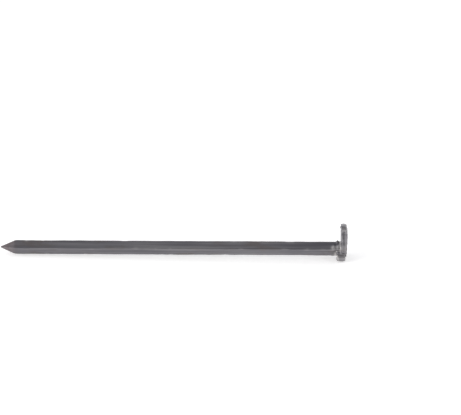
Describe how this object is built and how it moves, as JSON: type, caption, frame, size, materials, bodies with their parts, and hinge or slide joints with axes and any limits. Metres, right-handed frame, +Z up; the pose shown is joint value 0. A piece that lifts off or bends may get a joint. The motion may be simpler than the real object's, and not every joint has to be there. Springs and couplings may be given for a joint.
{
  "type": "miniature rail spike",
  "caption": "Small headed track spike: square steel shank with a four-sided point and an offset plate head with a lip that holds a rail's foot to its tie.",
  "frame": {"origin": "where the shank's axis meets the plane of the head's underside, which is the depth that the spike is driven to", "axes": "+X along the shank, from the point towards the head; +Z up with the spike lying loose on a table, on the plate's rim and the ear behind it; the head's lip points between +Y and +Z, 33 degrees above +Y"},
  "size_m": [0.0138, 0.0014, 0.0014],
  "materials": {
    "steel": "dull dark drawn steel wire, cold headed, with fine lengthwise streaks and bright rubbed edges"
  },
  "bodies": {
    "root": {"rail_spike": "steel"}
  },
  "joints": []
}
